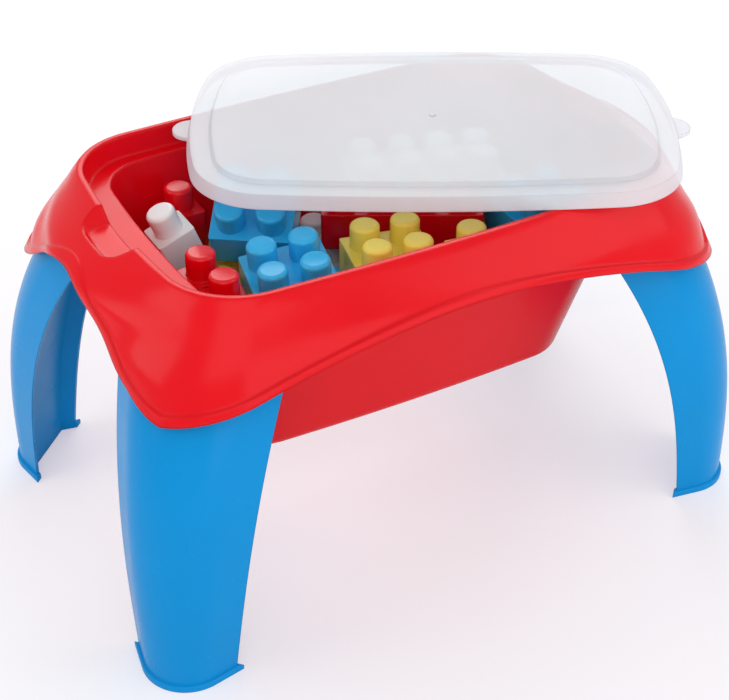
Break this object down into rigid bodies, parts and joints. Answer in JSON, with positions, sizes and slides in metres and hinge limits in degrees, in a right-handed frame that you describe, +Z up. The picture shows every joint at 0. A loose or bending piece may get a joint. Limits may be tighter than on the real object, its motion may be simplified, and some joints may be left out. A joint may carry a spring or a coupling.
{
  "type": "children's building block table",
  "caption": "Children's play table with a deep red tub top, bowed push-in blue legs, a loose milky lid and big building blocks stored in the tub.",
  "frame": {"origin": "on the floor, under the middle of the table", "axes": "+X along the table's length, +Y across it to the back, +Z up"},
  "size_m": [0.5362, 0.368, 0.31],
  "materials": {
    "red_plastic": "gloss",
    "blue_plastic": "gloss",
    "clear_lid": "satin",
    "block_red": "gloss",
    "block_blue": "gloss",
    "block_yellow": "gloss",
    "block_white": "gloss"
  },
  "bodies": {
    "table": {"tub_top": "red_plastic", "block_base_red": "block_red", "block_base_blue": "block_blue", "block_base_yellow": "block_yellow", "block_base_white": "block_white", "block_middle_blue": "block_blue", "block_middle_yellow": "block_yellow", "block_middle_red": "block_red", "block_middle_white": "block_white", "block_left_yellow": "block_yellow", "block_left_red": "block_red", "block_near_blue": "block_blue", "block_front_yellow": "block_yellow", "block_small_yellow": "block_yellow", "block_long_red": "block_red", "block_back_white": "block_white", "block_right_blue": "block_blue", "block_tilted_white": "block_white", "block_far_red": "block_red", "block_tilted_blue": "block_blue"},
    "lid": {"lid": "clear_lid"},
    "loose_block": {"block_near_red": "block_red"},
    "leg_front_left": {"leg_front_left": "blue_plastic"},
    "leg_front_right": {"leg_front_right": "blue_plastic"},
    "leg_back_left": {"leg_back_left": "blue_plastic"},
    "leg_back_right": {"leg_back_right": "blue_plastic"}
  },
  "joints": [
    {"name": "leg_front_left_pull", "type": "slide", "parent": "table", "child": "leg_front_left", "axis": [0, 0, -1], "range_m": [0, 0.06]},
    {"name": "leg_front_right_pull", "type": "slide", "parent": "table", "child": "leg_front_right", "axis": [0, 0, -1], "range_m": [0, 0.06]},
    {"name": "leg_back_left_pull", "type": "slide", "parent": "table", "child": "leg_back_left", "axis": [0, 0, -1], "range_m": [0, 0.06]},
    {"name": "leg_back_right_pull", "type": "slide", "parent": "table", "child": "leg_back_right", "axis": [0, 0, -1], "range_m": [0, 0.06]},
    {"name": "lid_lift", "type": "slide", "parent": "table", "child": "lid", "axis": [0, 0, 1], "range_m": [0, 0.25]},
    {"name": "loose_block_lift", "type": "slide", "parent": "table", "child": "loose_block", "axis": [0, 0, 1], "range_m": [0, 0.12]}
  ]
}
